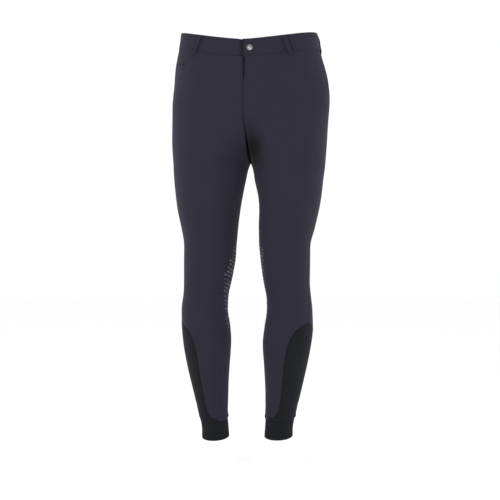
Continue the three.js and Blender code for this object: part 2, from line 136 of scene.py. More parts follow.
# A smooth curve through a table of falling levels, which never overshoots its rows
def curveThrough(levels, values, blur=0):
    z = np.array(levels[::-1], float)
    v = np.array(values[::-1], float)
    slope = np.diff(v) / np.diff(z)
    both = slope[:-1] * slope[1:] > 0
    mean = np.where(both, 2 * slope[:-1] * slope[1:] / np.where(both, slope[:-1] + slope[1:], 1), 0)
    tangent = np.concatenate([[slope[0]], mean, [slope[-1]]])
    fine = np.arange(z[0], z[-1] + 0.5, 1.0)
    i = np.clip(np.searchsorted(z, fine, side="right") - 1, 0, len(z) - 2)
    span = z[i + 1] - z[i]
    t = (fine - z[i]) / span
    start = (1 - t) ** 2 * ((1 + 2 * t) * v[i] + t * span * tangent[i])
    end = t * t * ((3 - 2 * t) * v[i + 1] - (1 - t) * span * tangent[i + 1])
    curve = start + end
    if blur:
        reach = 3 * blur
        weight = bell(np.arange(-reach, reach + 1), 1.4 * blur)
        padded = np.pad(curve, reach, mode="reflect", reflect_type="odd")
        curve = np.convolve(padded, weight / weight.sum(), mode="valid")
    return lambda level: np.interp(level, fine, curve)


def curveOf(pairs, blur=0):
    return curveThrough([level for level, _ in pairs], [value for _, value in pairs], blur)


ringBlur = 5
ring = {key: curveThrough(form["level"], form[key], ringBlur) for key in form if key != "level"}
seamAngle = {key: curveOf(pairs) for key, pairs in seams.items()}
leanAt = curveOf(middleLean, ringBlur)
easeAt = {key: curveOf(pairs, ringBlur) for key, pairs in ease.items()}


def reachAt(side, level, towardsBack):
    leg = "left" if side > 0 else "right"
    inner = np.where(towardsBack, ring["seat"](level), ring["inner"](level))
    inner = inner + side * (leanAt(level) + easeAt[f"{leg}Inner"](level))
    outer = ring["outer"](level) + side * easeAt[f"{leg}Outer"](level)
    return (outer + inner) / 2, (outer - inner) / 2


# The smooth outer face of the cloth; side is 1 on the wearer's left and -1 on the right.
def ringPoint(side, level, angle):
    level, angle = np.broadcast_arrays(np.asarray(level, float), np.asarray(angle, float))
    sine, cosine = np.sin(np.radians(angle)), np.cos(np.radians(angle))
    power = 2 / ring["square"](level)
    middle, reach = reachAt(side, level, sine < 0)
    widest, front, back = ring["widest"](level), ring["front"](level), ring["back"](level)
    depth = np.where(sine > 0, widest - front, back - widest)
    dx = side * reach * np.sign(cosine) * np.abs(cosine) ** power
    dy = widest - depth * np.sign(sine) * np.abs(sine) ** power - (front + back) / 2
    turn = -np.radians(ring["turn"](level))
    return np.stack([
        side * middle + dx * np.cos(turn) - dy * np.sin(turn) + ring["sway"](level),
        (front + back) / 2 + dx * np.sin(turn) + dy * np.cos(turn),
        level,
    ], -1)


def unit(vectors):
    return vectors / np.linalg.norm(vectors, axis=-1, keepdims=True)


# The way that one degree takes round the ring
def degreeStep(side, level, angle):
    return ringPoint(side, level, angle + 0.5) - ringPoint(side, level, angle - 0.5)


def ringNormal(side, level, angle):
    upward = ringPoint(side, level + 1, angle) - ringPoint(side, level - 1, angle)
    return unit(-side * np.cross(degreeStep(side, level, angle), upward))


def perDegree(side, level, angle):
    return np.linalg.norm(degreeStep(side, level, angle), axis=-1)


def beyond(side, level, angle, distance):
    return angle + distance / perDegree(side, level, angle)


def angleAtX(side, level, x, towardsBack=False):
    middle, reach = reachAt(side, level, towardsBack)
    cosine = np.clip((x - middle) / reach, -1, 1)
    found = np.degrees(np.arccos(np.sign(cosine) * np.abs(cosine) ** (ring["square"](level) / 2)))
    return -found if towardsBack else found


# The seams of the wearer's left leg lie a little higher from the knee down.
def legLift(side, row):
    if side < 0:
        return 0 * row
    return cut["leftLegLift"] * softStep((cut["liftStart"] - row) / (cut["liftStart"] - cut["liftEnd"]))


# The waistband dips in front and the hem is lower in front: a row's level at an angle
def levelAt(side, row, angle):
    sine = np.sin(np.radians(angle))
    share = np.arcsin(np.abs(sine)) / (math.pi / 2)
    bend = cut["dipEase"] * softStep(share) + (1 - cut["dipEase"]) * share ** cut["dipPower"]
    dip = np.where(sine > 0, -cut["frontDip"] * bend, cut["backRise"] * bend)
    tilt = -side * cut["waistTilt"] * np.cos(np.radians(angle))
    waistShare = softStep((row + cut["dipFade"]) / (cut["dipFade"] + bandFoot))
    hemShare = softStep((row - cut["hemTiltStart"]) / (cut["cuffTop"] - cut["hemTiltStart"]))
    return row + (dip + tilt) * waistShare - cut["hemTilt"] * sine * hemShare + legLift(side, row)


# Soft creases: level and angle of the start, level and angle of the end, width and depth. The front is worn
# smooth, with faint drag lines at the crotch, and there are more under the seat, behind the knees and over
# the cuffs.
creases = [
    (-268, 160, -236, 104, 9, 0.9),
    (-279, 165, -270, 96, 8, 0.8),
    (-294, 162, -304, 106, 11, 0.8),
    (-226, 118, -190, 84, 14, 0.5),
    (-288, -160, -320, -98, 10, 1.7),
    (-302, -152, -354, -92, 13, 1.3),
    (-264, -140, -288, -78, 12, 1.1),
    (-566, -52, -574, -136, 6.5, 1.5),
    (-588, -38, -584, -122, 7.5, 2.1),
    (-604, -64, -612, -150, 6, 1.4),
    (-620, -46, -630, -112, 8, 1.0),
    (-548, -80, -540, -146, 8, 0.8),
    (-586, 150, -596, 98, 9, 0.4),
    (-628, 60, -640, 128, 10, 0.4),
    (-846, 118, -853, 172, 5, 0.6),
    (-864, 96, -868, 150, 4.5, 0.5),
    (-842, -64, -850, -150, 5.5, 0.9),
    (-862, -84, -866, -168, 5, 0.8),
    (-850, -30, -858, 52, 5, 0.5),
    (-712, -60, -742, -118, 13, 0.6),
    (-436, -60, -470, -140, 18, 0.8),
    (-60, -40, -84, -82, 16, 0.7),
    (-120, -30, -158, -62, 20, 0.7),
]
creaseShape = {
    "ridge": 0.45, "ridgeOff": 1.7, "ridgeWide": 1.2, "bow": 0.12, "early": 0.12, "fade": 0.4, "narrow": 0.75,
    "widening": 0.5, "rightShare": 0.85, "shift": 5, "startLevel": -20, "startFade": 40, "darkest": 8,
}
uneven = {"broad": 0.2, "fine": 0.12}
# The hollow beside the crotch seam on the wearer's left; its depth also sets the painted shade there
crotchHollow = {"deep": 9.5, "level": -264, "reach": 36, "beside": 14, "width": 20, "frontFade": 0.15}


def creaseLift(side, level, angle):
    roll = np.abs(ring["outer"](level) - np.maximum(ring["inner"](level), 0)) * math.pi / 360
    lift = np.zeros(np.broadcast(level, angle).shape)
    early, fade = creaseShape["early"], creaseShape["fade"]
    for i, (z0, a0, z1, a1, wide, deep) in enumerate(creases):
        if side < 0:  # the right leg's creases lie a little otherwise
            z0 += creaseShape["shift"] * math.sin(2.4 * i + 1)
            z1 -= creaseShape["shift"] * math.sin(1.7 * i)
        dx, dz = (a1 - a0) * roll, z1 - z0
        length = np.sqrt(dx**2 + dz**2)
        px, pz = (angle - a0) * roll, level - z0
        t = (px * dx + pz * dz) / length**2
        share = np.clip(t, 0, 1)
        bow = creaseShape["bow"] * length * np.sin(np.pi * share) * math.cos(i)
        off = (pz * dx - px * dz) / length - bow
        taper = softStep((t + early) / fade) * softStep((1 + early - t) / fade)
        wide = wide * (creaseShape["narrow"] + creaseShape["widening"] * share)
        ridge = bell(off - creaseShape["ridgeOff"] * wide, creaseShape["ridgeWide"] * wide)
        shape = creaseShape["ridge"] * ridge - bell(off, wide)
        lift += deep * (1 if side > 0 else creaseShape["rightShare"]) * taper * shape
    turn = np.radians(angle)
    lift += uneven["broad"] * np.sin(level / 31 + 2 * turn + side) * np.sin(level / 67 - turn)
    lift += uneven["fine"] * np.sin(level / 17 - 3 * turn) * np.sin(level / 45 + side)
    lift = lift * softStep((creaseShape["startLevel"] - level) / creaseShape["startFade"])
    if side > 0:  # the cloth is drawn in beside the crotch seam on the wearer's left
        x = ringPoint(1, level, angle)[..., 0] - ring["sway"](level) - leanAt(level)
        front = softStep((np.sin(turn) + 0.05) / crotchHollow["frontFade"])
        beside = bell(x - crotchHollow["beside"], crotchHollow["width"])
        near = bell(level - crotchHollow["level"], crotchHollow["reach"])
        lift = lift - crotchHollow["deep"] * near * beside * front
    return lift


def clothPoint(side, level, angle, out=0.0):
    lift = creaseLift(side, level, angle) + out
    return ringPoint(side, level, angle) + ringNormal(side, level, angle) * np.asarray(lift)[..., None]


def meshFrom(name, points, faces, uv=None, marks=None):
    mesh = bpy.data.meshes.new(name)
    faceList = faces if isinstance(faces, list) else faces.tolist()
    mesh.from_pydata((np.asarray(points) * mm).tolist(), [], faceList)
    mesh.polygons.foreach_set("use_smooth", np.ones(len(mesh.polygons), bool))
    if uv is not None:
        corner = np.zeros(len(mesh.loops), np.int32)
        mesh.loops.foreach_get("vertex_index", corner)
        clothMap = mesh.uv_layers.new(name="clothMap")
        clothMap.data.foreach_set("uv", (np.asarray(uv)[corner] * mm).ravel().astype(np.float32))
    for label, values in (marks or {}).items():
        layer = mesh.attributes.new(label, "FLOAT", "POINT")
        layer.data.foreach_set("value", np.asarray(values, np.float32))
    mesh.update()
    piece = bpy.data.objects.new(name, mesh)
    bpy.context.collection.objects.link(piece)
    return piece


# A closed thin wall from grids of outer and inner points, rows by columns
def shellFrom(name, outer, inner, uv, marks, side, closedRound=False):
    rows, columns = outer.shape[:2]
    index = np.arange(2 * rows * columns).reshape(2, rows, columns)
    if closedRound:
        index = np.concatenate([index, index[:, :, :1]], 2)
    o, n = index
    quads = [
        np.stack([o[:-1, :-1], o[:-1, 1:], o[1:, 1:], o[1:, :-1]], -1).reshape(-1, 4),
        np.stack([n[:-1, :-1], n[1:, :-1], n[1:, 1:], n[:-1, 1:]], -1).reshape(-1, 4),
        np.stack([o[0, :-1], n[0, :-1], n[0, 1:], o[0, 1:]], -1),
        np.stack([o[-1, :-1], o[-1, 1:], n[-1, 1:], n[-1, :-1]], -1),
    ]
    if not closedRound:
        quads.append(np.stack([o[:-1, 0], o[1:, 0], n[1:, 0], n[:-1, 0]], -1))
        quads.append(np.stack([o[:-1, -1], n[:-1, -1], n[1:, -1], o[1:, -1]], -1))
    faces = np.concatenate(quads)
    if side < 0:
        faces = faces[:, ::-1]
    points = np.concatenate([outer.reshape(-1, 3), inner.reshape(-1, 3)])
    flat = np.tile(uv.reshape(-1, 2), (2, 1))
    return meshFrom(name, points, faces, flat, {label: np.tile(v.ravel(), 2) for label, v in marks.items()})


edgeSteps = np.array([0, 0.3, 0.7, 1.2, 1.9, 2.8, 4.0, 5.6])


# Angles of the columns from one seam to another: close together at the edges and even between them
def columnAngles(side, level, start, end, count):
    a, b = start(side, level), end(side, level)
    step = perDegree(side, level, (a + b) / 2)
    width = np.abs(b - a) * step
    margin = np.minimum(edgeSteps[-1], width / 4)
    rim = [margin * e / edgeSteps[-1] for e in edgeSteps[:-1]]
    inside = [margin + (width - 2 * margin) * s for s in np.linspace(0, 1, count)]
    distances = rim + inside + [width - r for r in rim[::-1]]
    return np.stack([a + (b - a) * d / width for d in distances])


def rowsBetween(bands):
    top, foot = bands[0][0], bands[-1][1]
    margin = min(edgeSteps[-1], (top - foot) / 4)
    rim = edgeSteps[:-1] * margin / edgeSteps[-1]
    marks = []
    for high, low, pitch in bands:
        high, low = min(high, top - margin), max(low, foot + margin)
        marks += list(np.linspace(high, low, max(2, round((high - low) / pitch)), endpoint=False))
    return np.concatenate([top - rim, marks, [foot + margin], (foot + rim)[::-1]])


clothSizes = {}  # what the print lines tell of each piece: width, length and area in metres

# Where the two halves of the back are drawn together along their seam
together = {"start": -20, "startFade": 10, "pastCrotch": 6, "endFade": 12, "reach": 7}


# Draws a piece's first column to the middle, where the two halves are sewn together above the crotch
def drawTogether(points, side, level, fromEdge):
    first = level[:, 0]
    below = softStep((together["start"] - first) / together["startFade"])
    above = softStep((first - cut["crotch"] + together["pastCrotch"]) / together["endFade"])
    target = ring["sway"](first) + leanAt(first) + side * halfGap
    move = (target - points[:, 0, 0]) * (below * above)
    points[..., 0] += move[:, None] * bell(fromEdge, together["reach"])


edgeForm = {
    "rounded": 0.42, "roundReach": 0.7, "dipReach": 2.2, "puckerIn": 3.5, "puckerReach": 2.5,
    "darkReach": 2.6,
}


# The two faces of a wall whose cut edges are rounded off
def bothFaces(side, level, angle, offset, wall, edge, rounded):
    toEdge = 1 - np.clip(edge / (edgeForm["roundReach"] * wall), 0, 1)
    rounding = rounded * wall * (1 - np.sqrt(1 - toEdge**2))
    outer = clothPoint(side, level, angle, offset - rounding)
    return outer, clothPoint(side, level, angle, offset - wall + rounding)


# One cloth piece between two seams, whose sewn edges dip by "roll"; "start" and "end" give the seams' angles,
# "out" how far the cloth stands off the ring, and "shade" where it lies in shade
def clothPiece(name, side, rows, start, end, count, wall=cut["wall"], out=None, shade=None, roll=0.8,
               topRoll=None, pucker=0.08, rounded=edgeForm["rounded"], seamShade=1.0, meets=False):
    angle = columnAngles(side, rows, start, end, count).T
    for _ in range(3):  # a seam's angle belongs to the level that each point really has
        level = levelAt(side, rows[:, None], angle)
        columns = range(angle.shape[1])
        angle = np.stack([columnAngles(side, level[:, c], start, end, count)[c] for c in columns], 1)
    level = levelAt(side, rows[:, None], angle)
    base = ringPoint(side, level, angle)
    across = np.linalg.norm(np.diff(base, axis=1), axis=-1)
    downward = np.linalg.norm(np.diff(base, axis=0), axis=-1)
    along = np.concatenate([np.zeros((len(rows), 1)), np.cumsum(across, 1)], 1)
    drop = np.concatenate([np.zeros((1, level.shape[1])), np.cumsum(downward, 0)])
    sideEdge = np.minimum(np.minimum(along, along[:, -1:] - along), (rows - rows[-1])[:, None])
    topEdge = np.broadcast_to((rows[0] - rows)[:, None], level.shape)
    edge = np.minimum(sideEdge, topEdge)
    sideDip = roll * bell(sideEdge, edgeForm["dipReach"])
    topDip = (roll if topRoll is None else topRoll) * bell(topEdge, edgeForm["dipReach"])
    offset = -np.maximum(sideDip, topDip)
    if out is not None:
        offset = offset + out(side, level, angle, rows[:, None], edge)
    ripple = np.sin(level / 1.4 + 3 * np.sin(level / 23)) * np.sin(level / 5.1 + angle / 9)
    offset = offset + pucker * bell(edge - edgeForm["puckerIn"], edgeForm["puckerReach"]) * ripple
    outer, inner = bothFaces(side, level, angle, offset, wall, edge, rounded)
    if meets:
        drawTogether(outer, side, level, along)
        drawTogether(inner, side, level, along)
    uv = np.stack([along - along[:, -1:] / 2, -drop], -1)
    area = (downward[:, 1:] * across[1:]).sum() * mm * mm
    clothSizes[name] = [round(v, 4) for v in (along[:, -1].max() * mm, drop[-1].max() * mm, area)]
    # 'fold' is painted shade: the colour darkens where creases and the hollow beside the crotch sink in,
    # fully at creaseShape's 'darkest' depth, and where 'shade' adds more
    fold = np.clip(-creaseLift(side, level, angle) / creaseShape["darkest"], 0, 1)
    if shade is not None:
        fold = np.clip(fold + shade(side, level, angle, rows[:, None]), 0, 1)
    # Painted shade along the seams and the piece's edges, scaled by seamShade
    near = seamShade * bell(edge if topRoll is None else sideEdge, edgeForm["darkReach"])
    return shellFrom(name, outer, inner, uv, {"nearSeam": near, "fold": fold}, side)


def closedTube(name, side, rows, count, wall, out):
    angle = np.broadcast_to(np.arange(count) * 360 / count, (len(rows), count))
    level = levelAt(side, rows[:, None], angle)
    base = ringPoint(side, level, angle)
    edge = np.broadcast_to(np.minimum(rows[0] - rows, rows - rows[-1])[:, None], level.shape)
    offset = out(side, level, angle, rows[:, None], edge)
    outer, inner = bothFaces(side, level, angle, offset, wall, edge, edgeForm["rounded"])
    girth = np.linalg.norm(np.roll(base, -1, 1) - base, axis=-1).sum(1)
    uv = np.stack([girth.mean() * (angle / 360 - 0.5), level], -1)
    clothSizes[name] = [round(girth.max() * mm, 4), round((rows[0] - rows[-1]) * mm, 4)]
    # Painted shade along the cuff's top edge and hem, and no painted shade in creases
    marks = {"nearSeam": bell(edge, edgeForm["darkReach"]), "fold": 0 * level}
    return shellFrom(name, outer, inner, uv, marks, side, closedRound=True)


sideName = {1: "left", -1: "right"}

# The front and back panels

fly = {"opening": 2.8, "closed": -118, "fade": 30, "shade": 0.8, "shadeReach": 1.6, "shadeFade": 70}
pocketLip = {"rise": 0.8, "angle": 9, "gape": 2.2, "gapeLevel": -66, "gapeReach": 22, "fade": 14}
panelBands = [
    (bandFoot, -44, 3.2), (-44, -62, 0.7), (-62, -150, 3.2), (-150, -255, 3.2), (-255, -300, 1.6),
    (-300, -648, 3.4), (-648, -700, 1.3), (-700, -855, 3.2), (-855, cut["cuffTop"], 1.4),
]
panelColumns = 42


def flyEdge(side, level):
    if side < 0:
        return halfGap
    return halfGap + fly["opening"] * softStep((level - fly["closed"]) / fly["fade"])


def frontInner(side, level):
    closed = beyond(side, level, 180.0, -halfGap)
    split = angleAtX(side, level, flyEdge(side, level) + side * leanAt(level))
    return np.where(level > cut["crotch"], np.minimum(split, closed), closed)


def backInner(side, level):
    closed = beyond(side, level, -180.0, halfGap)
    split = angleAtX(side, level, halfGap + side * leanAt(level), True)
    return np.where(level > cut["crotch"], np.maximum(split, closed), closed)


# The side seam, which runs on as the insert's front or back seam below its point
def outerSeam(side, level, insertSeam):
    seamLevel = level - legLift(side, level)
    below = seamAngle[insertSeam](seamLevel)
    return np.where(seamLevel > cut["insertApex"], seamAngle["side"](seamLevel), below)


def frontOuter(side, level):
    below = outerSeam(side, level, "insertFront")
    return beyond(side, level, np.where(level > cut["pocketEnd"], seamAngle["pocket"](level), below), halfGap)


def backOuter(side, level):
    return beyond(side, level, outerSeam(side, level, "insertBack"), -halfGap)


def lipLift(side, level, angle):
    gape = pocketLip["gape"] * bell(level - pocketLip["gapeLevel"], pocketLip["gapeReach"]) if side < 0 else 0
    fromMouth = (angle - seamAngle["pocket"](level)) / pocketLip["angle"]
    above = softStep((level - cut["pocketEnd"]) / pocketLip["fade"])
    return (pocketLip["rise"] + gape) * (1 - softStep(fromMouth)) * above


flyStitch = {"reach": 31, "turnLevel": -128, "foot": -166, "press": 0.3, "pressReach": 1.4, "fade": 10}


def flySew(side, level, angle):
    if side < 0:
        return 0
    x = np.abs(ringPoint(side, level, angle)[..., 0])
    above = softStep((level - flyStitch["turnLevel"]) / flyStitch["fade"])
    return -flyStitch["press"] * bell(x - flyStitch["reach"], flyStitch["pressReach"]) * above


coin = {
    "side": -1, "from": 28.5, "to": 37, "mouth": -57.0, "height": 11, "wall": 0.6, "proud": 1.2, "gap": 0.1,
    "stitchIn": 2.4, "press": 0.2, "slit": 1.3, "slitAbove": 1.2, "slitReach": 1.7, "slitStart": 26.3,
    "slitEnd": 36.6, "slitFade": 0.6,
}


# The slit that the coin pocket opens at, just above its welt: a shallow groove, which is also darkened by
# painted shade
def coinSlit(side, level, angle):
    if side != coin["side"]:
        return 0
    start, end = (angle - coin["slitStart"]) / coin["slitFade"], (coin["slitEnd"] - angle) / coin["slitFade"]
    middle = (coin["from"] + coin["to"]) / 2
    slitLevel = levelAt(side, coin["mouth"] + coin["slitAbove"], 0.5 * (angle + middle))
    return bell(level - slitLevel, coin["slitReach"]) * (softStep(start) * softStep(end))


# The leg's cloth stands a little proud just above the cuff's seam, but not at the right leg's outer side
foot = {"lift": 1.3, "above": 4, "reach": 3.2}


def footLift(side, level, angle, rows, edge):
    share = 1 if side > 0 else 0.5 - 0.5 * np.cos(np.radians(angle))
    return foot["lift"] * share * bell(rows - cut["cuffTop"] - foot["above"], foot["reach"])


def frontOut(side, level, angle, rows, edge):
    lift = lipLift(side, level, angle) + flySew(side, level, angle) + footLift(side, level, angle, rows, edge)
    return lift - coin["slit"] * coinSlit(side, level, angle)


# The fly's edge and the coin pocket's slit lie in shade
def frontShade(side, level, angle, rows):
    flyX = leanAt(level) + (flyEdge(side, level) if side > 0 else 0)
    fromFly = np.abs(ringPoint(side, level, angle)[..., 0] - flyX)
    parted = softStep((level - fly["closed"]) / fly["shadeFade"]) * (angle > 45)
    return coinSlit(side, level, angle) + fly["shade"] * bell(fromFly, fly["shadeReach"]) * parted


panels = []
panelRows = rowsBetween(panelBands)
panelEdges = {"roll": 0.55, "topRoll": 0.1, "rounded": 0.25}
for side in (1, -1):
    panels.append(clothPiece(
        f"front_{sideName[side]}_cloth", side, panelRows, frontOuter, frontInner, panelColumns, out=frontOut,
        shade=frontShade, **panelEdges))
    panels.append(clothPiece(
        f"back_{sideName[side]}_cloth", side, panelRows, backInner, backOuter, panelColumns, out=footLift,
        meets=True, **panelEdges))
print("fronts and backs are cut:", clothSizes)

# The calf inserts and cuffs

insert = {"start": cut["insertApex"] - 1.2, "columns": 30, "roll": 0.7}
insertBands = [(insert["start"], -700, 1.3), (-700, -855, 3.2), (-855, cut["cuffTop"], 1.4)]
cuff = {
    "inset": 1.4, "wall": 1.5, "pitch": 2.2, "ribs": 84, "ribDeep": 0.2, "hemFold": 14, "hemProud": 0.35,
    "hemPress": 0.25, "pressReach": 1.2,
}


def insertBack(side, level):
    return beyond(side, level, outerSeam(side, level, "insertBack"), halfGap)


def insertFront(side, level):
    return beyond(side, level, outerSeam(side, level, "insertFront"), -halfGap)


def cuffOut(side, level, angle, rows, edge):
    fold = cut["hemLevel"] + cuff["hemFold"]
    hem = cuff["hemProud"] * softStep((fold - rows + 1) / 2)
    hem = hem - cuff["hemPress"] * bell(rows - fold, cuff["pressReach"])
    return -cuff["inset"] + cuff["ribDeep"] * np.cos(np.radians(angle) * cuff["ribs"]) + hem


inserts, cuffs = [], []
cuffRows = rowsBetween([(cut["cuffTop"] - cut["seamGap"], cut["hemLevel"], cuff["pitch"])])
for side in (1, -1):
    inserts.append(clothPiece(
        f"calf_insert_{sideName[side]}_cloth", side, rowsBetween(insertBands), insertBack, insertFront,
        insert["columns"], out=footLift, roll=insert["roll"]))
    cuffs.append(closedTube(
        f"cuff_{sideName[side]}_cloth", side, cuffRows, 4 * cuff["ribs"], cuff["wall"], cuffOut))
print("inserts and cuffs are cut")

# The waistband, whose left end laps over the right

band = {
    "wall": 2.6, "proud": 0.5, "fuller": 0.25, "lapPastMiddle": 2.5, "underReach": 32, "stepStart": 8.5,
    "clearance": 0.4, "stitchIn": 3.0, "press": 0.22, "pressReach": 0.8, "pitch": 2.4, "columns": 150,
    "lapLift": 1.2, "lapFade": 12, "lapValley": 4.0, "lapShade": 0.95, "lapShadeReach": 1.9,
    "lapShadeShift": {1: -1.0, -1: 0.9},
}
bandRows = rowsBetween([(cut["waistTop"], bandFoot + cut["seamGap"], band["pitch"])])


def bandBack(side, level):
    return angleAtX(side, level, halfGap, True)


def bandFront(side, level):
    return angleAtX(side, level, -(band["lapPastMiddle"] if side > 0 else band["underReach"]))


def bandOut(side, level, angle, rows, edge):
    out = band["proud"] - band["press"] * bell(edge - band["stitchIn"], band["pressReach"])
    out = out + band["fuller"] * softStep((edge - 4) / 8)
    x = side * ringPoint(side, level, angle)[..., 0]
    if side > 0:
        lap = band["lapLift"] * softStep((band["lapFade"] - x) / band["lapFade"])
        out = out + np.where(angle > 0, lap, 0)
    else:
        stepEnd = band["lapPastMiddle"] + band["lapValley"]
        under = np.where(angle > 0, softStep((band["stepStart"] - x) / (band["stepStart"] - stepEnd)), 0)
        out = out - (band["wall"] + band["clearance"]) * under
    return out


loops = [
    {"side": 1, "top": 60, "foot": 56.2},
    {"side": -1, "top": 57, "foot": 51},
    {"side": 1, "top": -10, "foot": -11},
    {"side": -1, "top": -10, "foot": -11},
    {"side": 1, "top": -90, "foot": -90},
]
loopShape = {
    "width": 12, "wall": 1.6, "standOff": 1.9, "belowBand": 9, "topDown": 1, "gap": 0.3, "pitch": 1.4,
    "columns": 9, "barIn": 2.5, "barPress": 0.5, "barReach": 1.6, "stitchPress": 0.25,
}
loopShade = {
    "inner": 0.55, "innerOff": 0.6, "innerReach": 1.3, "outer": 0.7, "outerOff": 4.4, "outerReach": 2.8,
}
loopHalf = loopShape["width"] / 2
loopTop = cut["waistTop"] - loopShape["topDown"]
loopFoot = bandFoot - loopShape["belowBand"]


def loopMiddle(loop, level):
    return loop["top"] + (loop["foot"] - loop["top"]) * (level - loopTop) / (loopFoot - loopTop)


# Where the band lies in the shade: beside the belt loops, and under the edge of the lap
def bandShade(side, level, angle, rows):
    shade = 0.0
    for loop in loops:
        if loop["side"] == side:
            aside = (angle - loopMiddle(loop, rows)) * perDegree(side, level, angle)
            inner = bell(aside - loopHalf - loopShade["innerOff"], loopShade["innerReach"])
            outer = bell(aside + loopHalf + loopShade["outerOff"], loopShade["outerReach"])
            shade = shade + loopShade["inner"] * inner + loopShade["outer"] * outer
    x = ringPoint(side, level, angle)[..., 0] + band["lapPastMiddle"] + band["lapShadeShift"][side]
    return shade + np.where(angle > 45, band["lapShade"] * bell(x, band["lapShadeReach"]), 0)


waistbands = []
for side in (1, -1):
    waistbands.append(clothPiece(
        f"waistband_{sideName[side]}_cloth", side, bandRows, bandBack, bandFront, band["columns"],
        wall=band["wall"], out=bandOut, shade=bandShade, roll=0.15, topRoll=0.15, pucker=0.06, rounded=0.2,
        seamShade=0.5))
print("the waistband is on")

# Belt loops, pocket facings, coin pocket and fly underlap


def loopLift(rows):
    onBand = (band["proud"] + band["fuller"]) * softStep((rows - bandFoot + 4) / 4)
    fromEnd = np.minimum(loopTop - rows, rows - loopFoot)
    sewn = loopShape["barPress"] * bell(fromEnd - loopShape["barIn"], loopShape["barReach"])
    standOff = loopShape["standOff"] * softStep((fromEnd - 3) / 10)
    return loopShape["gap"] + loopShape["wall"] + onBand + standOff - sewn


def loopOut(side, level, angle, rows, edge):
    return loopLift(rows) - loopShape["stitchPress"] * bell(edge - 2, 0.6)


loopPieces = []
loopRows = rowsBetween([(loopTop, loopFoot, loopShape["pitch"])])
for i, loop in enumerate(loops):
    loopPieces.append(clothPiece(
        f"belt_loop_{i + 1}_cloth", loop["side"], loopRows,
        lambda side, level: beyond(side, level, loopMiddle(loop, level), -loopHalf),
        lambda side, level: beyond(side, level, loopMiddle(loop, level), loopHalf),
        loopShape["columns"], wall=loopShape["wall"], out=loopOut, roll=0, pucker=0.03))

facing = {
    "wall": 1.2, "clearance": 0.4, "pastMouth": 27, "mouthShare": 0.7, "behindBand": 5, "topDip": 3,
    "topFade": 2.5, "behindBack": 6, "seamAngle": 2.0, "seamFade": 1.5, "footFrom": -70, "footReach": 45,
    "fineEnd": bandFoot - 4, "columns": 32,
}


def facingBack(side, level):
    return beyond(side, level, 0.0, -facing["behindBack"])


def facingFront(side, level):
    return beyond(side, level, seamAngle["pocket"](level), facing["pastMouth"])


# The facing sinks behind the front, the back panel and the band, and towards the pocket's foot
def facingOut(side, level, angle, rows, edge):
    hidden = np.max(np.broadcast_arrays(
        softStep(angle / (facing["mouthShare"] * seamAngle["pocket"](level))),
        softStep((facing["footFrom"] - level) / facing["footReach"]),
        softStep((rows - bandFoot + facing["topDip"]) / facing["topFade"]),
        softStep((facing["seamAngle"] - angle) / facing["seamFade"])), 0)
    return -(cut["wall"] + facing["clearance"]) * hidden


facings = []
facingRows = rowsBetween([
    (bandFoot + facing["behindBand"], facing["fineEnd"], 0.7), (facing["fineEnd"], cut["pocketEnd"], 2.5)])
for side in (1, -1):
    facings.append(clothPiece(
        f"pocket_facing_{sideName[side]}_cloth", side, facingRows, facingBack, facingFront, facing["columns"],
        wall=facing["wall"], out=facingOut, roll=0.0, pucker=0))


def coinOut(side, level, angle, rows, edge):
    share = softStep((rows - coin["mouth"] + coin["height"]) / coin["height"])
    bow = np.sin(np.pi * np.clip((angle - coin["from"]) / (coin["to"] - coin["from"]), 0, 1))
    sewn = coin["press"] * bell(rows - coin["mouth"] + coin["stitchIn"], 0.7)
    return coin["gap"] + coin["wall"] + (coin["proud"] * share * bow - sewn)


coinPiece = clothPiece(
    "coin_pocket_cloth", coin["side"], rowsBetween([(coin["mouth"], coin["mouth"] - coin["height"], 0.9)]),
    lambda side, level: coin["from"] + 0 * level, lambda side, level: coin["to"] + 0 * level, 24,
    wall=coin["wall"], out=coinOut, roll=0.3, pucker=0, seamShade=0.1)

# The fly's underlap is darkened all over by painted shade, as it lies behind the fly's opening
underlap = {"right": -22, "left": 24, "top": -58, "foot": -165, "wall": 1.2, "depth": 2.0, "shade": 0.85}
underlapPiece = clothPiece(
    "fly_underlap_cloth", 1, rowsBetween([(underlap["top"] + cut["frontDip"], underlap["foot"], 2.5)]),
    lambda side, level: angleAtX(side, level, underlap["left"]),
    lambda side, level: angleAtX(side, level, underlap["right"]), 20, wall=underlap["wall"],
    out=lambda side, level, angle, rows, edge: -underlap["depth"],
    shade=lambda side, level, angle, rows: underlap["shade"] + 0 * level, roll=0, pucker=0)
print("loops, facings, coin pocket and fly underlap are on:", clothSizes)


# Faces of a turned form, whose points are its foot, its rings of points and its tip
def turnedFaces(rings, turns):
    faces = []
    last = 1 + (rings - 1) * turns
    for k in range(turns):
        nxt = (k + 1) % turns
        faces.append((0, 1 + nxt, 1 + k))
        for low in range(1, last, turns):
            faces.append((low + k, low + nxt, low + turns + nxt, low + turns + k))
        faces.append((last + k, last + nxt, last + turns))
    return faces


def copiesOf(faces, each, count):
    return [tuple(i * each + point for point in face) for i in range(count) for face in faces]


# Two directions on the face whose normal is "up": a level one, and the one that climbs
def facePlane(up):
    across = unit(np.cross([0.0, 0.0, 1.0], up))
    return across, np.cross(up, across)


# The snap's cap, whose profile says how far inside the rim it lies and how high
snap = {
    "radius": 7, "rise": 2.6, "fromMiddle": 14.3, "gap": 0.1, "turns": 72,
    "profile": [(0.5, 0), (0.12, 0.15), (0, 0.5), (0.12, 0.9), (0.5, 1.16), (1.1, 1.36), (1.7, 1.58),
                (2.4, 1.84), (3.2, 2.1), (4.2, 2.36), (5.6, 2.55)],
}


